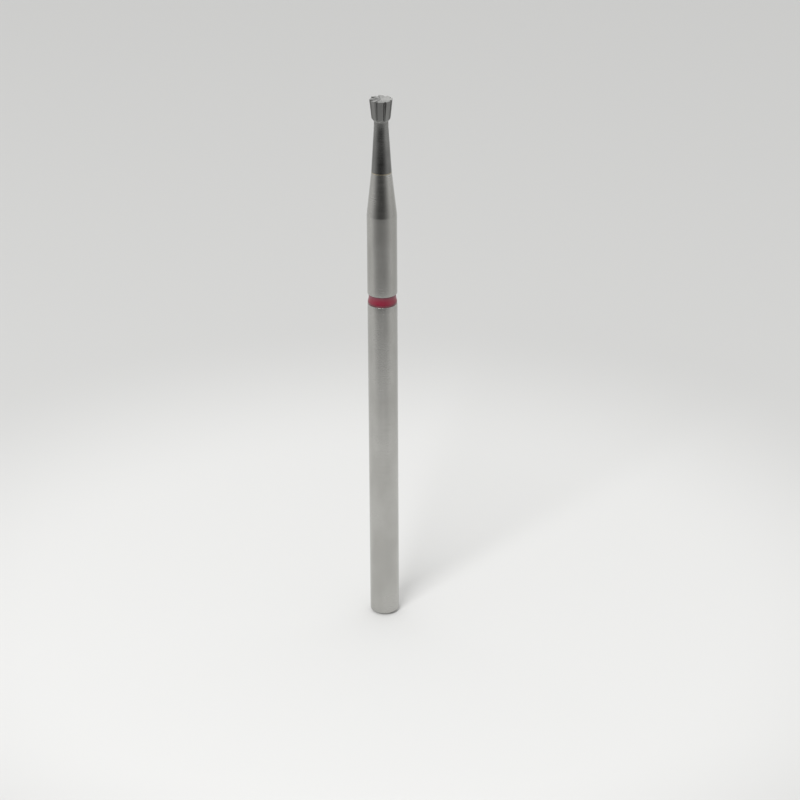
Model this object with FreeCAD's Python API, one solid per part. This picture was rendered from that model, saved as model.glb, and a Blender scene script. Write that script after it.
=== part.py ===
import FreeCAD, Part
import math
import os

from FreeCAD import Vector

# A straight-handpiece bur with an inverted cone cutter, standing on its shank.
# Millimetres. The origin is the centre of the shank's end face and +Z runs to the cutting tip.

# Whole tool
overall_length = 44.5          # shank end to cutting tip
shank_diameter = 2.35          # parallel part, held by the collet
joint_diameter = 1.58          # where steel and carbide meet

# Steel shank
end_chamfer = 0.25             # at the end that enters the chuck
cone_length = 3.48             # from the parallel part up to the joint
cone_foot_radius = 0.4         # ground blend where the cone starts

# Groove for the colour ring
groove_below_cone = 6.6        # from the cone's foot down to the groove
groove_width = 0.86
groove_depth = 0.17
groove_corner_radius = 0.015
groove_lip_radius = 0.02

# Colour ring: lacquer that pooled towards the shank's end before it set
lacquer_top_recess = 0.095     # below the shank's surface, at the groove's upper wall
lacquer_waist_recess = 0.08    # where the thin film turns into the bead
lacquer_bead_recess = 0.015    # at the bead's crown
lacquer_bottom_recess = 0.04   # at the groove's lower wall
lacquer_film_height = 0.42     # of the thin film, down from the upper wall
lacquer_bead_height = 0.16     # of the bead's crown, up from the lower wall
lacquer_film_radius = 0.3
lacquer_bead_radius = 0.1

# Brazed joint between steel and carbide
braze_thickness = 0.05

# Carbide neck
taper_length = 3.67            # from the joint to the waist
waist_diameter = 1.12
waist_length = 0.45            # parallel part under the head
waist_blend_radius = 4.0       # where the taper runs into the waist
head_root_radius = 0.08        # where the waist meets the head's back

# Carbide head, an inverted cone
head_length = 1.75
head_tip_diameter = 1.8
head_back_diameter = 1.48
back_bevel_height = 0.24       # of the bevel from the waist out to the cone
tip_dish = 0.04                # how far the end face falls towards its centre

# Blades, straight and cutting clockwise as seen from the shank
blade_count = 8
first_edge_angle = -33.5       # degrees from +X to one of the cutting edges
rake_angle = 34.0              # negative rake: the cutting faces lean back from the radius
margin_width = 0.045           # narrow land behind each cutting edge
clearance_angle = 18.0         # of the facet behind the land, from the cone's tangent there
core_tip_diameter = 1.44       # bottom of the flutes at the tip
core_back_diameter = 1.22      # bottom of the flutes where they leave the head
flute_floor_width = 0.06
flute_wall_angle = 70.0        # of the flute's back wall, from its floor
flute_floor_radius = 0.03
end_gash_depth = 0.05          # fall of each end facet, at the rim, to the blade behind it

# Room that a grinding tool takes past the tip, and how many times its true length each face runs outwards
tool_overshoot = 0.3
tool_reach = 2.0

# Heights and radii that follow from the sizes above
head_tip_z = overall_length
head_back_z = head_tip_z - head_length
cone_rim_z = head_back_z + back_bevel_height
waist_foot_z = head_back_z - waist_length
cutter_foot_z = waist_foot_z - taper_length
steel_top_z = cutter_foot_z - braze_thickness
cone_foot_z = steel_top_z - cone_length
groove_top_z = cone_foot_z - groove_below_cone
groove_foot_z = groove_top_z - groove_width
shank_radius = shank_diameter / 2
joint_radius = joint_diameter / 2
waist_radius = waist_diameter / 2
groove_radius = shank_radius - groove_depth
blade_pitch = 360.0 / blade_count

# The longest share of a side that one rounded corner may use up
CORNER_SHARE = 0.45


def rounded_wire(corners):
    """Closed wire through (point, radius) corners, each rounded as far as its two sides allow."""
    trimmed = []
    for index, (corner, radius) in enumerate(corners):
        before = corners[index - 1][0] - corner
        after = corners[(index + 1) % len(corners)][0] - corner
        shorter = min(before.Length, after.Length)
        before.normalize()
        after.normalize()
        half = before.getAngle(after) / 2
        radius = min(radius, CORNER_SHARE * shorter * math.tan(half))
        if radius <= 0:
            trimmed.append((corner, None, corner))
            continue
        setback = radius / math.tan(half)
        bisector = (before + after).normalize()
        middle = corner + bisector * (radius / math.sin(half) - radius)
        trimmed.append((corner + before * setback, middle, corner + after * setback))
    edges = []
    for index, (start, middle, end) in enumerate(trimmed):
        if middle is not None:
            edges.append(Part.Arc(start, middle, end).toShape())
        following = trimmed[(index + 1) % len(trimmed)][0]
        edges.append(Part.LineSegment(end, following).toShape())
    return Part.Wire(edges)


def turned(corners):
    """Solid of revolution about Z from (radius, height, corner radius) corners of its half section."""
    wire = rounded_wire([(Vector(r, 0, z), rounding) for r, z, rounding in corners])
    return Part.Face(wire).revolve(Vector(0, 0, 0), Vector(0, 0, 1), 360)


def polar(radius, degrees, z):
    """Point at that radius, angle and height."""
    angle = math.radians(degrees)
    return Vector(radius * math.cos(angle), radius * math.sin(angle), z)


def along_head(back_value, tip_value, z):
    """Straight line through a value at the head's back and one at its tip, read at z."""
    share = (z - head_back_z) / head_length
    return back_value + (tip_value - back_value) * share


def head_radius(z):
    """Radius of the inverted cone at z."""
    share = (z - cone_rim_z) / (head_tip_z - cone_rim_z)
    return (head_back_diameter + (head_tip_diameter - head_back_diameter) * share) / 2


def make_shank():
    """Steel shank: chuck end, parallel part with the ring's groove, and the cone up to the joint."""
    return turned([
        (0, 0, 0),
        (shank_radius - end_chamfer, 0, 0),
        (shank_radius, end_chamfer, 0),
        (shank_radius, groove_foot_z, groove_lip_radius),
        (groove_radius, groove_foot_z, groove_corner_radius),
        (groove_radius, groove_top_z, groove_corner_radius),
        (shank_radius, groove_top_z, groove_lip_radius),
        (shank_radius, cone_foot_z, cone_foot_radius),
        (joint_radius, steel_top_z, 0),
        (0, steel_top_z, 0),
    ])


def make_colour_ring():
    """Lacquer that fills the groove: a thin film above, running into a bead at the lower wall."""
    return turned([
        (groove_radius, groove_foot_z, groove_corner_radius),
        (shank_radius - lacquer_bottom_recess, groove_foot_z, 0),
        (shank_radius - lacquer_bead_recess, groove_foot_z + lacquer_bead_height, lacquer_bead_radius),
        (shank_radius - lacquer_waist_recess, groove_top_z - lacquer_film_height, lacquer_film_radius),
        (shank_radius - lacquer_top_recess, groove_top_z, 0),
        (groove_radius, groove_top_z, groove_corner_radius),
    ])


def make_braze_joint():
    """Thin disc of braze metal between the shank's cone and the carbide, ground flush with both."""
    return Part.makeCylinder(joint_radius, braze_thickness, Vector(0, 0, steel_top_z))


def make_cutter_blank():
    """Carbide neck and head before the blades are ground."""
    return turned([
        (0, cutter_foot_z, 0),
        (joint_radius, cutter_foot_z, 0),
        (waist_radius, waist_foot_z, waist_blend_radius),
        (waist_radius, head_back_z, head_root_radius),
        (head_back_diameter / 2, cone_rim_z, 0),
        (head_tip_diameter / 2, head_tip_z, 0),
        (0, head_tip_z - tip_dish, 0),
    ])


def outward(start, through):
    """Point on the line from start through the other point, well outside the head."""
    return start + (through - start) * tool_reach


def turned_by(vector, degrees):
    """The vector turned about Z."""
    angle = math.radians(degrees)
    x = vector.x * math.cos(angle) - vector.y * math.sin(angle)
    y = vector.x * math.sin(angle) + vector.y * math.cos(angle)
    return Vector(x, y, 0)


def crossing(start, direction, other_start, other_direction):
    """Where two lines in one level plane cross."""
    spread = direction.cross(other_direction).z
    return start + direction * ((other_start - start).cross(other_direction).z / spread)


def rake_foot(outer, core, z):
    """Foot of the rake face, which leans in from the cutting edge at angle 0 and ends at the core."""
    lean = math.radians(rake_angle)
    run = outer * math.cos(lean) - math.sqrt(core ** 2 - (outer * math.sin(lean)) ** 2)
    return Vector(outer - run * math.cos(lean), run * math.sin(lean), z)


def slot_section(z):
    """Outline of the flute's slot at z: rake face, floor and back wall."""
    outer = head_radius(z)
    core = along_head(core_back_diameter, core_tip_diameter, z) / 2
    foot = rake_foot(outer, core, z)
    rake_end = outward(foot, polar(outer, 0, z))
    floor_direction = turned_by(Vector(foot.x, foot.y, 0).normalize(), 90)
    floor_end = foot + floor_direction * flute_floor_width
    wall_end = floor_end + turned_by(floor_direction, -flute_wall_angle) * (tool_reach * outer)
    return rounded_wire([
        (rake_end, 0),
        (foot, flute_floor_radius),
        (floor_end, flute_floor_radius),
        (wall_end, 0),
    ])


def relief_section(z):
    """Outline at z of what the clearance facet takes away, from the next margin back to the rake face."""
    outer = head_radius(z)
    core = along_head(core_back_diameter, core_tip_diameter, z) / 2
    edge = polar(outer, 0, z)
    foot = rake_foot(outer, core, z)
    margin_direction = blade_pitch - math.degrees(margin_width / outer)
    margin_end = polar(outer, margin_direction, z)
    facet_direction = turned_by(Vector(1, 0, 0), margin_direction - 90 - clearance_angle)
    facet_foot = crossing(margin_end, facet_direction, edge, edge - foot)
    return rounded_wire([
        (facet_foot, 0),
        (outward(foot, edge), 0),
        (polar(tool_reach * outer, blade_pitch / 2, z), 0),
        (outward(facet_foot, margin_end), 0),
    ])


def make_flute_tools():
    """Two solids that grind one flute: its slot, and the clearance facet of the blade ahead of it."""
    heights = (head_back_z, head_tip_z + tool_overshoot)
    slot = Part.makeLoft([slot_section(z) for z in heights], True, True)
    relief = Part.makeLoft([relief_section(z) for z in heights], True, True)
    return [slot, relief]


def make_end_gash_tool():
    """Solid that grinds one end facet, from its cutting edge down to the blade behind it."""
    centre = Vector(0, 0, head_tip_z - tip_dish)
    reach = head_tip_diameter / 2 + tool_overshoot
    stretch = reach / (head_tip_diameter / 2)
    edge_rise = tip_dish * stretch
    edge_end = polar(reach, blade_pitch, head_tip_z - tip_dish + edge_rise)
    gash_end = polar(reach, 0, head_tip_z - tip_dish + edge_rise - end_gash_depth * stretch)
    slope = Part.Face(Part.makePolygon([centre, edge_end, gash_end, centre]))
    return slope.extrude(Vector(0, 0, end_gash_depth + 2 * tool_overshoot))


def around_axis(shapes):
    """One copy of each shape for each blade."""
    copies = []
    for blade in range(blade_count):
        for shape in shapes:
            copy = shape.copy()
            copy.rotate(Vector(0, 0, 0), Vector(0, 0, 1), first_edge_angle + blade * blade_pitch)
            copies.append(copy)
    return copies


def make_cutter():
    """Carbide cutter: neck and inverted cone head in one piece, with its side and end blades."""
    fluted = make_cutter_blank().cut(around_axis(make_flute_tools()))
    ground = fluted.cut(around_axis([make_end_gash_tool()]))
    return ground.removeSplitter()


def export(name, shape):
    """Writes one piece as a STEP file, named after its node."""
    solids = shape.Solids
    piece = solids[0] if len(solids) == 1 else Part.makeCompound(solids)
    piece.exportStep(os.path.join("parts", name + ".step"))
    print(name, "solids", len(solids), "faces", len(piece.Faces))
    print("  volume %.4f" % piece.Volume, "valid", piece.isValid())


def main():
    os.makedirs("parts", exist_ok=True)
    export("steel_shank", make_shank())
    export("colour_ring", make_colour_ring())
    export("braze_joint", make_braze_joint())
    export("carbide_cutter", make_cutter())


main()
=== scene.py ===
import math

import bpy
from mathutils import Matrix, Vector


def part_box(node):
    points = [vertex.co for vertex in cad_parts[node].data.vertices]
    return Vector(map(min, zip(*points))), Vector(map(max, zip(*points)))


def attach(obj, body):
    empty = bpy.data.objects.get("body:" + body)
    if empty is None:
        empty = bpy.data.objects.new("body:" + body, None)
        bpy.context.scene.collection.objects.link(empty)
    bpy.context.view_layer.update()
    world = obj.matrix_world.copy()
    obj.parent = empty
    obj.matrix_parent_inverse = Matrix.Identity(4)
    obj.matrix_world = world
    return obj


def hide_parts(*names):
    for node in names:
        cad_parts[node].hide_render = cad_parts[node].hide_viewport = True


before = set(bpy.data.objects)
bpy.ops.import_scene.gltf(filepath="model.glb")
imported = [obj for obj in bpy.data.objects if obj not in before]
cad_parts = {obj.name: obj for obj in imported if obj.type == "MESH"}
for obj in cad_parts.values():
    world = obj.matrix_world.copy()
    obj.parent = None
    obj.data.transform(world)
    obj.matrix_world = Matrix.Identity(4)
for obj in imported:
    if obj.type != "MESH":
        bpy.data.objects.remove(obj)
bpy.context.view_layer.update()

# A straight-handpiece bur, tip up. Shapes are worked out in millimetres and written to the meshes in metres.
MM = 0.001


def node_span(node):
    """Lowest z, highest z and widest radius of a node of the frame, in millimetres."""
    low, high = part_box(node)
    return low.z / MM, high.z / MM, max(high.x, high.y) / MM


# Heights and radii that the frame gives
SHANK_FOOT, STEEL_TOP, SHANK_RADIUS = node_span("steel_shank")
GROOVE_FOOT, GROOVE_TOP, _ = node_span("colour_ring")
_, CUTTER_FOOT, JOINT_RADIUS = node_span("braze_joint")
_, HEAD_TIP, _ = node_span("carbide_cutter")

# Shank
END_CHAMFER = 0.25
END_CHAMFER_RADIUS = 0.05
CONE_LENGTH = 3.48
CONE_FOOT_RADIUS = 0.4
CONE_FOOT = STEEL_TOP - CONE_LENGTH
GROOVE_DEPTH = 0.17
GROOVE_CORNER_RADIUS = 0.015
GROOVE_LIP_RADIUS = 0.02
GROOVE_RADIUS = SHANK_RADIUS - GROOVE_DEPTH

# Colour ring
LACQUER_TOP_RECESS = 0.095
LACQUER_WAIST_RECESS = 0.08
LACQUER_BEAD_RECESS = 0.015
LACQUER_BOTTOM_RECESS = 0.04
LACQUER_FILM_HEIGHT = 0.42
LACQUER_BEAD_HEIGHT = 0.16
LACQUER_FILM_RADIUS = 0.3
LACQUER_BEAD_RADIUS = 0.1
LACQUER_RIPPLE = 0.012

# Waves of the lacquer's free surface round the ring: how many, share of the ripple, phase
RIPPLE_WAVES = ((2, 1.0, 0.7), (5, 0.6, 2.1), (11, 0.3, 0.4))
RIPPLE_SINK = 0.5
RIPPLE_SWELL = 0.25

# Neck and head. The rounding at the head's root ends below HEAD_ROOT_HEIGHT over the head's back.
TAPER_LENGTH = 3.67
WAIST_RADIUS = 0.56
WAIST_BLEND_RADIUS = 4.0
HEAD_ROOT_RADIUS = 0.08
HEAD_ROOT_HEIGHT = 0.03
HEAD_LENGTH = 1.75
HEAD_TIP_RADIUS = 0.9
HEAD_BACK_RADIUS = 0.74
BACK_BEVEL_HEIGHT = 0.24
TIP_DISH = 0.04
WAIST_FOOT = CUTTER_FOOT + TAPER_LENGTH
HEAD_BACK = HEAD_TIP - HEAD_LENGTH
CONE_RIM = HEAD_BACK + BACK_BEVEL_HEIGHT

# Blades
BLADE_COUNT = 8
BLADE_PITCH = 360.0 / BLADE_COUNT
FIRST_EDGE_ANGLE = -33.5
RAKE_ANGLE = 34.0
MARGIN_WIDTH = 0.045
CLEARANCE_ANGLE = 18.0
CORE_TIP_RADIUS = 0.72
CORE_BACK_RADIUS = 0.61
FLUTE_FLOOR_WIDTH = 0.06
FLUTE_WALL_ANGLE = 70.0
FLUTE_FLOOR_RADIUS = 0.03
END_GASH_DEPTH = 0.05

# Mesh fineness. A rounding takes at most CORNER_SHARE of the shorter run beside its corner.
TURNED_SEGMENTS = 192
ARC_STEP = 8.0
LONGEST_RUN = 0.5
LACQUER_RUN = 0.04
CORNER_SHARE = 0.45
CREASE_ANGLE = 24.0
ON_AXIS = 1e-9

# Columns and rows of the cutter's mesh. The shares are parts of the way along a face.
RAKE_FACE_SHARES = (0, 0.35, 0.7)
FLUTE_ARC_STEPS = 8
FACET_STEPS = 8
MARGIN_SHARES = (0.35, 0.7)
BEVEL_ROWS = 6
FLUTE_ROWS = 10
TIP_ROWS = 2
HEIGHT_PASSES = 6

# Camera, in millimetres and degrees
IMAGE_WIDTH = 800
FOCAL_LENGTH_PX = 2842.0
SENSOR_WIDTH = 36.0
CAMERA_PLACE = (0.190, -204.302, 117.419)
CAMERA_TURN = (64.305, 0.246, -0.440)
CAMERA_REACH = (10.0, 10000.0)


def corner_arc(before, corner, after, radius, steps=None):
    """Points of the arc that rounds a corner of an outline, or only the corner if it is sharp.

    The arc has the given number of steps, or as many as its turn needs.
    """
    to_before = before - corner
    to_after = after - corner
    shorter = min(to_before.length, to_after.length)
    to_before.normalize()
    to_after.normalize()
    half = to_before.angle(to_after) / 2
    radius = min(radius, CORNER_SHARE * shorter * math.tan(half))
    if radius <= 0:
        return [corner]
    centre = corner + (to_before + to_after).normalized() * radius / math.sin(half)
    start = corner + to_before * radius / math.tan(half) - centre
    end = corner + to_after * radius / math.tan(half) - centre
    turn = math.atan2(start.cross(end), start.dot(end))
    steps = steps or max(2, math.ceil(abs(math.degrees(turn)) / ARC_STEP))
    points = []
    for step in range(steps + 1):
        angle = turn * step / steps
        x = start.x * math.cos(angle) - start.y * math.sin(angle)
        y = start.x * math.sin(angle) + start.y * math.cos(angle)
        points.append(centre + Vector((x, y)))
    return points


def rounded(corners, closed=False):
    """Points of the outline through (x, y, corner radius) corners."""
    spots = [Vector((x, y)) for x, y, _ in corners]
    points = []
    for index, spot in enumerate(spots):
        if not closed and index in (0, len(spots) - 1):
            points.append(spot)
            continue
        following = spots[(index + 1) % len(spots)]
        points += corner_arc(spots[index - 1], spot, following, corners[index][2])
    return points


def divided(points, longest=LONGEST_RUN):
    """The same outline with its long runs cut into shorter ones."""
    result = [points[0]]
    for start, end in zip(points, points[1:]):
        parts = max(1, math.ceil((end - start).length / longest))
        result += [start.lerp(end, part / parts) for part in range(1, parts + 1)]
    return result


def make_piece(name, node, slot, vertices, faces):
    """Mesh object from millimetre points that stands for a node of the frame."""
    mesh = bpy.data.meshes.new(name)
    mesh.from_pydata([Vector(vertex) * MM for vertex in vertices], [], faces)
    mesh.validate()
    mesh.shade_smooth()
    mesh.set_sharp_from_angle(angle=math.radians(CREASE_ANGLE))
    piece = bpy.data.objects.new(name, mesh)
    bpy.context.scene.collection.objects.link(piece)
    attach(piece, "root")
    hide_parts(node)
    return piece


def ring_faces(low, high):
    """Faces between two closed rows of vertices. Vertices that fall together make triangles."""
    faces = []
    for index in range(len(low)):
        following = (index + 1) % len(low)
        corners = dict.fromkeys((low[index], low[following], high[following], high[index]))
        if len(corners) > 2:
            faces.append(tuple(corners))
    return faces


def turned_mesh(profile, closed=False, shape=None):
    """Vertices and faces of a (radius, z) outline turned about Z. shape may move each point by its angle."""
    vertices = []
    rows = []
    for radius, z in profile:
        if radius < ON_AXIS:
            rows.append([len(vertices)] * TURNED_SEGMENTS)
            vertices.append((0, 0, z))
            continue
        rows.append(list(range(len(vertices), len(vertices) + TURNED_SEGMENTS)))
        for segment in range(TURNED_SEGMENTS):
            angle = math.tau * segment / TURNED_SEGMENTS
            out, up = shape(radius, z, angle) if shape else (radius, z)
            vertices.append((out * math.cos(angle), out * math.sin(angle), up))
    faces = []
    for low, high in zip(rows, rows[1:] + rows[:1] if closed else rows[1:]):
        faces += ring_faces(low, high)
    return vertices, faces


def make_shank():
    """Steel shank: chuck end, parallel part with the ring's groove, and the cone up to the joint."""
    profile = divided(rounded([
        (0, SHANK_FOOT, 0),
        (SHANK_RADIUS - END_CHAMFER, SHANK_FOOT, END_CHAMFER_RADIUS),
        (SHANK_RADIUS, SHANK_FOOT + END_CHAMFER, END_CHAMFER_RADIUS),
        (SHANK_RADIUS, GROOVE_FOOT, GROOVE_LIP_RADIUS),
        (GROOVE_RADIUS, GROOVE_FOOT, GROOVE_CORNER_RADIUS),
        (GROOVE_RADIUS, GROOVE_TOP, GROOVE_CORNER_RADIUS),
        (SHANK_RADIUS, GROOVE_TOP, GROOVE_LIP_RADIUS),
        (SHANK_RADIUS, CONE_FOOT, CONE_FOOT_RADIUS),
        (JOINT_RADIUS, STEEL_TOP, 0),
        (0, STEEL_TOP, 0),
    ]))
    return make_piece("ground_shank", "steel_shank", "ground_steel", *turned_mesh(profile))


def lacquer_ripple(radius, z, angle):
    """The lacquer's free surface sinks and wanders a little round the ring."""
    height = (z - GROOVE_FOOT) / (GROOVE_TOP - GROOVE_FOOT)
    if radius < GROOVE_RADIUS + LACQUER_RIPPLE or not 0 < height < 1:
        return radius, z
    wave = sum(share * math.sin(count * angle + phase) for count, share, phase in RIPPLE_WAVES)
    ripple = LACQUER_RIPPLE * math.sin(math.pi * height)
    return radius - ripple * (RIPPLE_SINK + RIPPLE_SWELL * wave), z + ripple * wave


def make_colour_ring():
    """Lacquer in the groove: a thin film above that runs into a bead at the lower wall."""
    profile = divided(rounded([
        (GROOVE_RADIUS, GROOVE_FOOT, GROOVE_CORNER_RADIUS),
        (SHANK_RADIUS - LACQUER_BOTTOM_RECESS, GROOVE_FOOT, 0),
        (SHANK_RADIUS - LACQUER_BEAD_RECESS, GROOVE_FOOT + LACQUER_BEAD_HEIGHT, LACQUER_BEAD_RADIUS),
        (SHANK_RADIUS - LACQUER_WAIST_RECESS, GROOVE_TOP - LACQUER_FILM_HEIGHT, LACQUER_FILM_RADIUS),
        (SHANK_RADIUS - LACQUER_TOP_RECESS, GROOVE_TOP, 0),
        (GROOVE_RADIUS, GROOVE_TOP, GROOVE_CORNER_RADIUS),
    ], closed=True), LACQUER_RUN)
    mesh = turned_mesh(profile, closed=True, shape=lacquer_ripple)
    return make_piece("lacquer_ring", "colour_ring", "red_lacquer", *mesh)


def make_braze_joint():
    """Thin line of braze metal between steel and carbide."""
    profile = [Vector((0, STEEL_TOP)), Vector((JOINT_RADIUS, STEEL_TOP)),
               Vector((JOINT_RADIUS, CUTTER_FOOT)), Vector((0, CUTTER_FOOT))]
    return make_piece("braze_line", "braze_joint", "braze_metal", *turned_mesh(profile))


def polar(radius, degrees):
    """Level point at that radius and angle."""
    return Vector((radius * math.cos(math.radians(degrees)), radius * math.sin(math.radians(degrees))))


def head_radius(z):
    """Radius of the inverted cone at z."""
    share = (z - CONE_RIM) / (HEAD_TIP - CONE_RIM)
    return HEAD_BACK_RADIUS + (HEAD_TIP_RADIUS - HEAD_BACK_RADIUS) * share


def bevel_radius(z):
    """Radius of the head's back bevel at z."""
    return WAIST_RADIUS + (HEAD_BACK_RADIUS - WAIST_RADIUS) * (z - HEAD_BACK) / BACK_BEVEL_HEIGHT


def crossing(start, direction, other_start, other_direction):
    """Where two lines cross."""
    return (start + direction * (other_start - start).cross(other_direction)
            / direction.cross(other_direction))


def blade_section(z):
    """Outline of one blade pitch at z, from the cutting edge at angle 0 to just short of the next one.

    It runs down the rake face, over the flute's floor, up its wall and the clearance facet, and on
    along the margin.
    """
    outer = head_radius(z)
    core = CORE_BACK_RADIUS + (CORE_TIP_RADIUS - CORE_BACK_RADIUS) * (z - HEAD_BACK) / HEAD_LENGTH
    lean = math.radians(RAKE_ANGLE)
    run = outer * math.cos(lean) - math.sqrt(core ** 2 - (outer * math.sin(lean)) ** 2)
    edge = Vector((outer, 0))
    foot = Vector((outer - run * math.cos(lean), run * math.sin(lean)))
    floor_angle = math.degrees(math.atan2(foot.y, foot.x)) + 90
    floor_end = foot + polar(FLUTE_FLOOR_WIDTH, floor_angle)
    margin_angle = BLADE_PITCH - math.degrees(MARGIN_WIDTH / outer)
    margin_end = polar(outer, margin_angle)
    facet = polar(1, margin_angle - 90 - CLEARANCE_ANGLE)
    wall_end = crossing(floor_end, polar(1, floor_angle - FLUTE_WALL_ANGLE), margin_end, facet)
    return (
        [edge.lerp(foot, share) for share in RAKE_FACE_SHARES]
        + corner_arc(edge, foot, floor_end, FLUTE_FLOOR_RADIUS, FLUTE_ARC_STEPS)
        + corner_arc(foot, floor_end, wall_end, FLUTE_FLOOR_RADIUS, FLUTE_ARC_STEPS)
        + [floor_end.lerp(wall_end, 0.5)]
        + [wall_end.lerp(margin_end, step / FACET_STEPS) for step in range(FACET_STEPS + 1)]
        + [polar(outer, margin_angle + (BLADE_PITCH - margin_angle) * share) for share in MARGIN_SHARES]
    )


def end_facet_height(spot):
    """Height of the end facet over a point of the section. It falls from the next edge back to angle 0."""
    slope_x = (TIP_DISH - END_GASH_DEPTH) / HEAD_TIP_RADIUS
    high_corner = polar(HEAD_TIP_RADIUS, BLADE_PITCH)
    slope_y = (TIP_DISH - slope_x * high_corner.x) / high_corner.y
    return HEAD_TIP - TIP_DISH + slope_x * spot.x + slope_y * spot.y


def height_at_end(column):
    """Height at which a column of the section meets the end facet."""
    z = HEAD_TIP
    for _ in range(HEIGHT_PASSES):
        z = end_facet_height(blade_section(z)[column])
    return z


def height_at_bevel(column):
    """Height at which a column of the section leaves the head's back bevel."""
    z = CONE_RIM
    for _ in range(HEIGHT_PASSES):
        radius = blade_section(z)[column].length
        z = HEAD_BACK + (radius - WAIST_RADIUS) / (HEAD_BACK_RADIUS - WAIST_RADIUS) * BACK_BEVEL_HEIGHT
    return min(z, CONE_RIM)


def neck_profile():
    """Outline of the neck from the joint up to where the straight bevel starts."""
    points = divided(rounded([
        (0, CUTTER_FOOT, 0),
        (JOINT_RADIUS, CUTTER_FOOT, 0),
        (WAIST_RADIUS, WAIST_FOOT, WAIST_BLEND_RADIUS),
        (WAIST_RADIUS, HEAD_BACK, HEAD_ROOT_RADIUS),
        (HEAD_BACK_RADIUS, CONE_RIM, 0),
    ]))
    return [point for point in points[1:] if point.y < HEAD_BACK + HEAD_ROOT_HEIGHT]


def column_points(column, neck, gash_foot):
    """Points of one column of the cutter in the first pitch, from the joint up to gash_foot."""
    leaving = height_at_bevel(column)
    start = neck[-1].y
    spot = blade_section(leaving)[column]
    angle = math.degrees(math.atan2(spot.y, spot.x))
    points = [(*polar(radius, angle), z) for radius, z in neck]
    for row in range(1, BEVEL_ROWS + 1):
        z = start + (leaving - start) * row / BEVEL_ROWS
        spot = blade_section(z)[column]
        points.append((*(spot * bevel_radius(z) / spot.length), z))
    for row in range(1, FLUTE_ROWS + 1):
        z = leaving + (gash_foot - leaving) * row / FLUTE_ROWS
        points.append((*blade_section(z)[column], z))
    return points


def tip_points(column, gash_foot, top):
    """Points of one column from gash_foot up to the end face."""
    heights = [gash_foot + (top - gash_foot) * row / TIP_ROWS for row in range(1, TIP_ROWS + 1)]
    return [(*blade_section(z)[column], z) for z in heights]


def turned_about_axis(point, degrees):
    """The point turned about Z."""
    x, y, z = point
    cosine = math.cos(math.radians(degrees))
    sine = math.sin(math.radians(degrees))
    return x * cosine - y * sine, x * sine + y * cosine, z


def make_cutter():
    """Carbide neck and fluted head as one closed mesh, built from columns that follow the blades' outline."""
    neck = neck_profile()
    column_count = len(blade_section(HEAD_TIP))
    gash_foot = height_at_end(0)
    lower = [column_points(column, neck, gash_foot) for column in range(column_count)]
    upper = [tip_points(column, gash_foot, height_at_end(column)) for column in range(column_count)]
    edge_tip = tip_points(0, gash_foot, HEAD_TIP)

    vertices = [(0, 0, CUTTER_FOOT), (0, 0, HEAD_TIP - TIP_DISH)]

    def add(points, turn):
        """Adds the points, turned, and returns their numbers."""
        first = len(vertices)
        vertices.extend(turned_about_axis(point, turn) for point in points)
        return list(range(first, len(vertices)))

    gash_columns = []
    edge_columns = []
    for blade in range(BLADE_COUNT):
        turn = FIRST_EDGE_ANGLE + blade * BLADE_PITCH
        low_edge = add(lower[0], turn)
        edge_columns.append(low_edge + add(edge_tip, turn))
        columns = [low_edge + [low_edge[-1]] * TIP_ROWS]
        columns += [add(lower[column] + upper[column], turn) for column in range(1, column_count)]
        gash_columns.append(columns)

    faces = []
    for blade, columns in enumerate(gash_columns):
        next_edge = edge_columns[(blade + 1) % BLADE_COUNT]
        for here, beside in zip(columns, columns[1:] + [next_edge]):
            faces.append((0, beside[0], here[0]))
            faces.append((1, here[-1], beside[-1]))
            for row in range(len(here) - 1):
                corners = dict.fromkeys((here[row], beside[row], beside[row + 1], here[row + 1]))
                if len(corners) > 2:
                    faces.append(tuple(corners))
        faces.append((1, *reversed(edge_columns[blade][-TIP_ROWS - 1:])))
    return make_piece("fluted_cutter", "carbide_cutter", "ground_carbide", vertices, faces)


# Sockets of the mix node that belong to its colours
MIX_FACTOR = 0
MIX_COLOURS = slice(6, 8)
MIX_RESULT = 2

# Noise: detail, and the stretch of its values that an effect uses
NOISE_DETAIL = 3.0
SMUDGE_DETAIL = 4.0
FLECK_DETAIL = 5.0
STAIN_RANGE = (0.35, 0.65)
GRAIN_RANGE = (0.3, 0.7)
RELIEF_STRENGTH = 0.5

# Steel. Here and below, fineness is in cycles per millimetre along X, Y and Z, and relief in millimetres.
STEEL_DARK = (0.425, 0.42, 0.40, 1)
STEEL_PALE = (0.49, 0.485, 0.465, 1)
STEEL_RINGS = (0.5, 0.5, 22.0)
STEEL_SMUDGES = (0.45, 0.45, 0.22)
STEEL_ROUGHNESS = (0.20, 0.26)
STEEL_RING_ROUGHNESS = (-0.03, 0.03)
STEEL_RELIEF = 0.0003

# Carbide. It changes towards the head from NECK_CHANGE above the joint on, and again at the head's back.
NECK_DARK = (0.195, 0.195, 0.19, 1)
NECK_PALE = (0.24, 0.24, 0.234, 1)
HEAD_DARK = (0.236, 0.236, 0.23, 1)
HEAD_PALE = (0.281, 0.281, 0.274, 1)
CARBIDE_RINGS = (0.6, 0.6, 26.0)
CARBIDE_LINES = (24.0, 24.0, 0.8)
CARBIDE_SMUDGES = (1.1, 1.1, 0.6)
CARBIDE_ROUGHNESS = (0.17, 0.23)
CARBIDE_GRIND_ROUGHNESS = (-0.04, 0.05)
CARBIDE_RELIEF = 0.0004
NECK_CHANGE = 1.0
HEAD_CHANGE = (-0.05, 0.15)

# How much rougher the carbide's sides get towards the head, and again on the head. The end face, which
# looks up, stays as it is.
NECK_COARSENESS = 0.07
HEAD_COARSENESS = 0.13
LOOKS_UP = (0.5, 0.9)

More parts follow.
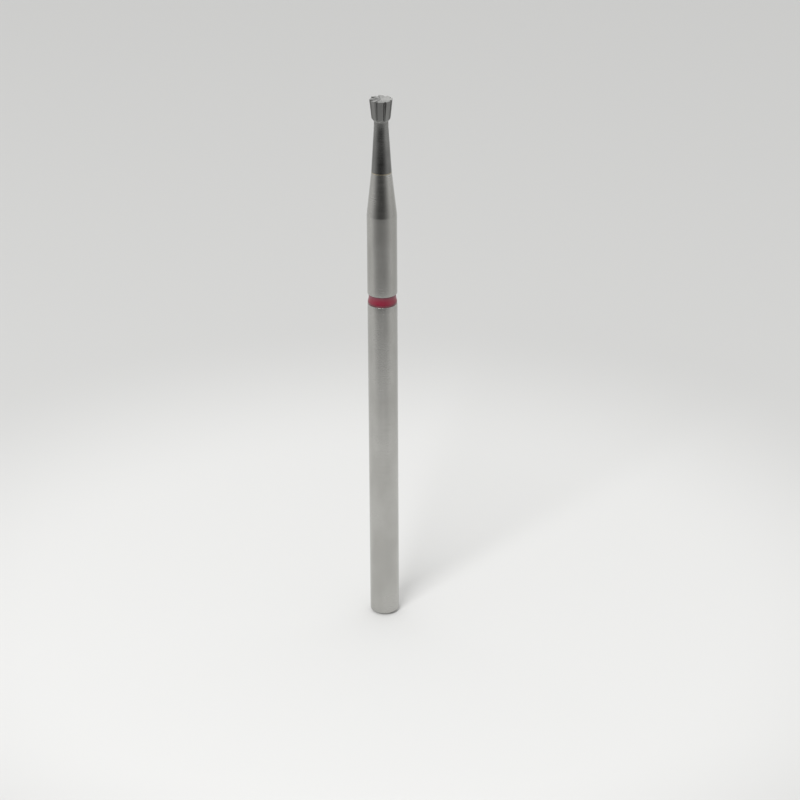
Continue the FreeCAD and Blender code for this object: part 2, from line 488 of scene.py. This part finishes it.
# Lacquer. The greyer red at the top of the film is a painted reflection, and the darker red of the bead at
# the lower wall is painted shade.
FILM_RED = (0.25, 0.018, 0.042, 1)
FILM_TOP_REFLECTION_RED = (0.198, 0.052, 0.076, 1)
BEAD_SHADE_RED = (0.125, 0.007, 0.02, 1)
FLECK_RED = (0.17, 0.012, 0.028, 1)
FLECK_FINENESS = (5.0, 5.0, 5.0)
FLECK_RANGE = (0.45, 0.8)
FLECK_AMOUNT = 0.5
LACQUER_ROUGHNESS = (0.26, 0.4)
LACQUER_RELIEF = 0.01
LACQUER_COAT = 0.3
LACQUER_COAT_ROUGHNESS = 0.15

# Braze metal
BRAZE_DARK = (0.34, 0.29, 0.2, 1)
BRAZE_PALE = (0.58, 0.5, 0.35, 1)
BRAZE_STAINS = (2.5, 2.5, 8.0)
BRAZE_ROUGHNESS = (0.28, 0.45)


def add_node(tree, kind, inputs=None, **settings):
    """Adds a shader node. An input takes a value, or the socket that feeds it."""
    made = tree.nodes.new(kind)
    for name, value in settings.items():
        setattr(made, name, value)
    for name, value in (inputs or {}).items():
        if isinstance(value, bpy.types.NodeSocket):
            tree.links.new(value, made.inputs[name])
        else:
            made.inputs[name].default_value = value
    return made


def new_material(name):
    """Material with an empty tree, ready for its nodes."""
    material = bpy.data.materials.new(name)
    material.use_nodes = True
    material.node_tree.nodes.clear()
    return material, material.node_tree


def surface_point(tree):
    """Place of the shaded point on the part, in millimetres."""
    coordinates = add_node(tree, "ShaderNodeTexCoord")
    scaled = {"Vector": coordinates.outputs["Object"], "Scale": (1 / MM, 1 / MM, 1 / MM)}
    return add_node(tree, "ShaderNodeMapping", scaled).outputs["Vector"]


def stretched_noise(tree, point, scale, detail=NOISE_DETAIL):
    """Noise with its own fineness along each axis, in cycles per millimetre."""
    stretched = add_node(tree, "ShaderNodeMapping", {"Vector": point, "Scale": scale})
    inputs = {"Vector": stretched.outputs["Vector"], "Scale": 1.0, "Detail": detail}
    return add_node(tree, "ShaderNodeTexNoise", inputs).outputs["Fac"]


def ranged(tree, value, source, target):
    """The value, taken from the source range to the target range and held inside it."""
    inputs = {"Value": value, "From Min": source[0], "From Max": source[1],
              "To Min": target[0], "To Max": target[1]}
    return add_node(tree, "ShaderNodeMapRange", inputs, interpolation_type="SMOOTHSTEP").outputs["Result"]


def calculated(tree, operation, first, second):
    """Result of one arithmetic step on two values or sockets."""
    node = add_node(tree, "ShaderNodeMath", operation=operation)
    for socket, value in zip(node.inputs, (first, second)):
        if isinstance(value, bpy.types.NodeSocket):
            tree.links.new(value, socket)
        else:
            socket.default_value = value
    return node.outputs["Value"]


def mixed_colour(tree, factor, first, second):
    """Colour that goes from the first to the second as the factor goes from 0 to 1."""
    node = add_node(tree, "ShaderNodeMix", data_type="RGBA")
    tree.links.new(factor, node.inputs[MIX_FACTOR])
    for socket, colour in zip(node.inputs[MIX_COLOURS], (first, second)):
        if isinstance(colour, bpy.types.NodeSocket):
            tree.links.new(colour, socket)
        else:
            socket.default_value = colour
    return node.outputs[MIX_RESULT]


def fine_relief(tree, height, depth):
    """Normal of a surface with a fine relief, depth in millimetres."""
    inputs = {"Height": height, "Strength": RELIEF_STRENGTH, "Distance": depth * MM}
    return add_node(tree, "ShaderNodeBump", inputs).outputs["Normal"]


def finish_material(tree, looks):
    """Adds the surface shader with these inputs and joins it to the material's output."""
    shader = add_node(tree, "ShaderNodeBsdfPrincipled", looks)
    output = add_node(tree, "ShaderNodeOutputMaterial")
    tree.links.new(shader.outputs["BSDF"], output.inputs["Surface"])


def ground_steel():
    """Fine ground stainless steel: rings left by the wheel, and a soft unevenness of its shine."""
    material, tree = new_material("ground_steel")
    point = surface_point(tree)
    rings = stretched_noise(tree, point, STEEL_RINGS)
    smudges = stretched_noise(tree, point, STEEL_SMUDGES, SMUDGE_DETAIL)
    colour = mixed_colour(tree, ranged(tree, smudges, STAIN_RANGE, (0, 1)), STEEL_DARK, STEEL_PALE)
    roughness = calculated(tree, "ADD", ranged(tree, rings, GRAIN_RANGE, STEEL_RING_ROUGHNESS),
                           ranged(tree, smudges, GRAIN_RANGE, STEEL_ROUGHNESS))
    finish_material(tree, {
        "Base Color": colour, "Metallic": 1.0, "Roughness": roughness,
        "Normal": fine_relief(tree, rings, STEEL_RELIEF),
    })
    return material


def carbide_colour(tree, near_head, smudges):
    """Grey that turns a little paler towards the head."""
    stains = ranged(tree, smudges, STAIN_RANGE, (0, 1))
    low = mixed_colour(tree, stains, NECK_DARK, NECK_PALE)
    high = mixed_colour(tree, stains, HEAD_DARK, HEAD_PALE)
    return mixed_colour(tree, near_head, low, high)


def carbide_roughness(tree, near_head, on_head, smudges, grind):
    """Roughness that grows on the sides towards the head and again on the head, but not on its end face."""
    slope = add_node(tree, "ShaderNodeTexCoord").outputs["Normal"]
    upward = add_node(tree, "ShaderNodeSeparateXYZ", {"Vector": slope}).outputs["Z"]
    side = ranged(tree, upward, LOOKS_UP, (1, 0))
    coarser = calculated(tree, "ADD", calculated(tree, "MULTIPLY", near_head, NECK_COARSENESS),
                         calculated(tree, "MULTIPLY", on_head, HEAD_COARSENESS))
    base = calculated(tree, "ADD", ranged(tree, smudges, GRAIN_RANGE, CARBIDE_ROUGHNESS),
                      ranged(tree, grind, GRAIN_RANGE, CARBIDE_GRIND_ROUGHNESS))
    return calculated(tree, "ADD", base, calculated(tree, "MULTIPLY", side, coarser))


def ground_carbide():
    """Dark ground carbide: rings round the neck, and lines along the blades on the head."""
    material, tree = new_material("ground_carbide")
    point = surface_point(tree)
    height = add_node(tree, "ShaderNodeSeparateXYZ", {"Vector": point}).outputs["Z"]
    near_head = ranged(tree, height, (CUTTER_FOOT + NECK_CHANGE, HEAD_BACK), (0, 1))
    on_head = ranged(tree, height, [HEAD_BACK + change for change in HEAD_CHANGE], (0, 1))
    rings = stretched_noise(tree, point, CARBIDE_RINGS)
    lines = stretched_noise(tree, point, CARBIDE_LINES)
    grind = mixed_colour(tree, on_head, rings, lines)
    smudges = stretched_noise(tree, point, CARBIDE_SMUDGES, SMUDGE_DETAIL)
    finish_material(tree, {
        "Base Color": carbide_colour(tree, near_head, smudges), "Metallic": 1.0,
        "Roughness": carbide_roughness(tree, near_head, on_head, smudges, grind),
        "Normal": fine_relief(tree, grind, CARBIDE_RELIEF),
    })
    return material


def red_lacquer():
    """Dark red lacquer with painted light: a painted greyish reflection towards the top of the thin film, and
    painted shade on the deep bead at the lower wall.
    """
    material, tree = new_material("red_lacquer")
    point = surface_point(tree)
    height = add_node(tree, "ShaderNodeSeparateXYZ", {"Vector": point}).outputs["Z"]
    flecks = stretched_noise(tree, point, FLECK_FINENESS, FLECK_DETAIL)
    film_foot = GROOVE_TOP - LACQUER_FILM_HEIGHT
    # Painted reflection: the red turns greyer towards the top of the film.
    film = mixed_colour(tree, ranged(tree, height, (film_foot, GROOVE_TOP), (0, 1)), FILM_RED, FILM_TOP_REFLECTION_RED)
    # Painted shade: the red turns darker down over the bead at the lower wall.
    bead_shade_top = GROOVE_FOOT + 2 * LACQUER_BEAD_HEIGHT
    plain = mixed_colour(tree, ranged(tree, height, (GROOVE_FOOT, bead_shade_top), (0, 1)), BEAD_SHADE_RED, film)
    fleck = ranged(tree, flecks, FLECK_RANGE, (0, FLECK_AMOUNT))
    finish_material(tree, {
        "Base Color": mixed_colour(tree, fleck, plain, FLECK_RED),
        "Roughness": ranged(tree, flecks, GRAIN_RANGE, LACQUER_ROUGHNESS),
        "Normal": fine_relief(tree, flecks, LACQUER_RELIEF),
        "Coat Weight": LACQUER_COAT, "Coat Roughness": LACQUER_COAT_ROUGHNESS,
    })
    return material


def braze_metal():
    """Silver braze: a warm grey line with small stains."""
    material, tree = new_material("braze_metal")
    point = surface_point(tree)
    stains = stretched_noise(tree, point, BRAZE_STAINS, SMUDGE_DETAIL)
    colour = mixed_colour(tree, ranged(tree, stains, STAIN_RANGE, (0, 1)), BRAZE_DARK, BRAZE_PALE)
    roughness = ranged(tree, stains, GRAIN_RANGE, BRAZE_ROUGHNESS)
    finish_material(tree, {"Base Color": colour, "Metallic": 1.0, "Roughness": roughness})
    return material


# Floor, millimetres. Its colour is palest near the part, a painted pool of light, and it ends in front of it
# with a soft edge.
FLOOR_FRONT = 75.0
FLOOR_FADE = 45.0
FLOOR_FADE_SIDEWAYS = 0.4
FLOOR_BACK = 900.0
FLOOR_HALF_WIDTH = 600.0
FLOOR_LIGHT_POOL_REACH = (28.0, 58.0)
FLOOR_LIGHT_POOL_COLOUR = (0.765, 0.765, 0.76, 1)
FLOOR_FAR_COLOUR = (0.635, 0.635, 0.63, 1)
FLOOR_ROUGHNESS = 0.8
FLOOR_SPECULAR = 0.2

# Light in the room by direction, with the room turned by ROOM_TURN degrees about Z. Each pair holds the
# start and end of a soft edge in parts of a unit vector: a foot or a top along Z, the others towards the
# front or the back.
ROOM_TURN = -7.0
ROOM_LIGHT = 0.68
ROOM_COLOUR = (1, 1, 0.99, 1)
DIM_AMOUNT = 0.65
DIM_EDGES = (0.05, 1.12)
DIM_FOOT = (-0.62, -0.22)
DIM_TOP = (0.12, 0.42)
BACK_EDGES = (0.30, 0.60)
WALL_LIGHT = 0.25
WALL_FOOT = (0.0, 0.15)
CEILING_LIGHT = 0.75
CEILING_FOOT = (0.32, 0.50)
CEILING_TOP = (0.50, 0.70)

# Soft box above and in front of the part, metres and watts
KEY_PLACE = (-0.12, -0.25, 0.30)
KEY_AIM = (0.0, 0.0, 0.02)
KEY_SIZE = 0.16
KEY_POWER = 0.85


def floor_cover(tree, point):
    """Cover of the floor: whole behind the part, and none past its soft front edge."""
    split = add_node(tree, "ShaderNodeSeparateXYZ", {"Vector": point})
    aside = calculated(tree, "ABSOLUTE", split.outputs["X"], 0)
    run_back = calculated(tree, "MULTIPLY", aside, FLOOR_FADE_SIDEWAYS)
    depth = calculated(tree, "SUBTRACT", split.outputs["Y"], run_back)
    ahead = ranged(tree, depth, (-FLOOR_FRONT, FLOOR_FADE - FLOOR_FRONT), (0, 1))
    behind = ranged(tree, split.outputs["Y"], (0, FLOOR_FADE), (0, 1))
    return calculated(tree, "MAXIMUM", ahead, behind)


def pale_floor():
    """Pale matt floor with a painted pool of light, palest near the part."""
    material, tree = new_material("pale_floor")
    point = surface_point(tree)
    distance = add_node(tree, "ShaderNodeVectorMath", {"Vector": point}, operation="LENGTH").outputs["Value"]
    # Painted pool of light: the floor's colour is paler near the part and darker further off.
    colour = mixed_colour(tree, ranged(tree, distance, FLOOR_LIGHT_POOL_REACH, (0, 1)),
                          FLOOR_LIGHT_POOL_COLOUR, FLOOR_FAR_COLOUR)
    finish_material(tree, {
        "Base Color": colour, "Roughness": FLOOR_ROUGHNESS, "Specular IOR Level": FLOOR_SPECULAR,
        "Alpha": floor_cover(tree, point),
    })
    return material


def make_floor():
    """Plain pale floor that fades out a little way in front of the part."""
    corners = [(-FLOOR_HALF_WIDTH, -FLOOR_FRONT), (FLOOR_HALF_WIDTH, -FLOOR_FRONT),
               (FLOOR_HALF_WIDTH, FLOOR_BACK), (-FLOOR_HALF_WIDTH, FLOOR_BACK)]
    mesh = bpy.data.meshes.new("floor")
    mesh.from_pydata([(x * MM, y * MM, SHANK_FOOT * MM) for x, y in corners], [], [(0, 1, 2, 3)])
    mesh.materials.append(pale_floor())
    floor = bpy.data.objects.new("floor", mesh)
    bpy.context.scene.collection.objects.link(floor)


def dim_front(tree, across, up):
    """Light taken off the room in front of the part."""
    front = ranged(tree, calculated(tree, "MULTIPLY", across, -1), DIM_EDGES, (0, -DIM_AMOUNT))
    middle = calculated(tree, "MULTIPLY", ranged(tree, up, DIM_FOOT, (0, 1)),
                        ranged(tree, up, DIM_TOP, (1, 0)))
    return calculated(tree, "MULTIPLY", front, middle)


def bright_back(tree, across, up):
    """Light added by the wall and the ceiling behind the part."""
    wall = ranged(tree, up, WALL_FOOT, (0, WALL_LIGHT))
    ceiling = calculated(tree, "MULTIPLY", ranged(tree, up, CEILING_FOOT, (0, CEILING_LIGHT)),
                         ranged(tree, up, CEILING_TOP, (1, 0)))
    back = ranged(tree, across, BACK_EDGES, (0, 1))
    return calculated(tree, "MULTIPLY", calculated(tree, "ADD", wall, ceiling), back)


def make_surroundings():
    """Pale room that is dim in front of the part and bright behind it."""
    world = bpy.data.worlds.new("room")
    bpy.context.scene.world = world
    world.use_nodes = True
    tree = world.node_tree
    tree.nodes.clear()
    direction = add_node(tree, "ShaderNodeTexCoord").outputs["Generated"]
    turned = add_node(tree, "ShaderNodeVectorRotate", {
        "Vector": direction, "Axis": (0, 0, 1), "Angle": math.radians(-ROOM_TURN),
    })
    split = add_node(tree, "ShaderNodeSeparateXYZ", {"Vector": turned.outputs["Vector"]})
    across, up = split.outputs["Y"], split.outputs["Z"]
    changes = calculated(tree, "ADD", dim_front(tree, across, up), bright_back(tree, across, up))
    light = calculated(tree, "ADD", changes, ROOM_LIGHT)
    background = add_node(tree, "ShaderNodeBackground", {"Strength": light, "Color": ROOM_COLOUR})
    output = add_node(tree, "ShaderNodeOutputWorld")
    tree.links.new(background.outputs["Background"], output.inputs["Surface"])


def make_key_light():
    """Soft box above and in front of the part."""
    lamp = bpy.data.lights.new("key_light", "AREA")
    lamp.size = KEY_SIZE
    lamp.energy = KEY_POWER
    key = bpy.data.objects.new("key_light", lamp)
    key.location = KEY_PLACE
    key.rotation_euler = (Vector(KEY_AIM) - Vector(KEY_PLACE)).to_track_quat("-Z", "Y").to_euler()
    key.visible_camera = False
    bpy.context.scene.collection.objects.link(key)


def make_camera():
    """Camera at the photograph's viewing angle."""
    lens = bpy.data.cameras.new("camera")
    lens.sensor_width = SENSOR_WIDTH
    lens.lens = FOCAL_LENGTH_PX / IMAGE_WIDTH * SENSOR_WIDTH
    lens.clip_start, lens.clip_end = (distance * MM for distance in CAMERA_REACH)
    camera = bpy.data.objects.new("camera", lens)
    camera.location = Vector(CAMERA_PLACE) * MM
    camera.rotation_euler = [math.radians(angle) for angle in CAMERA_TURN]
    bpy.context.scene.collection.objects.link(camera)
    bpy.context.scene.camera = camera


make_shank().data.materials.append(ground_steel())
make_colour_ring().data.materials.append(red_lacquer())
make_braze_joint().data.materials.append(braze_metal())
make_cutter().data.materials.append(ground_carbide())
make_floor()
make_surroundings()
make_key_light()
make_camera()
bpy.context.scene.view_settings.view_transform = "Standard"
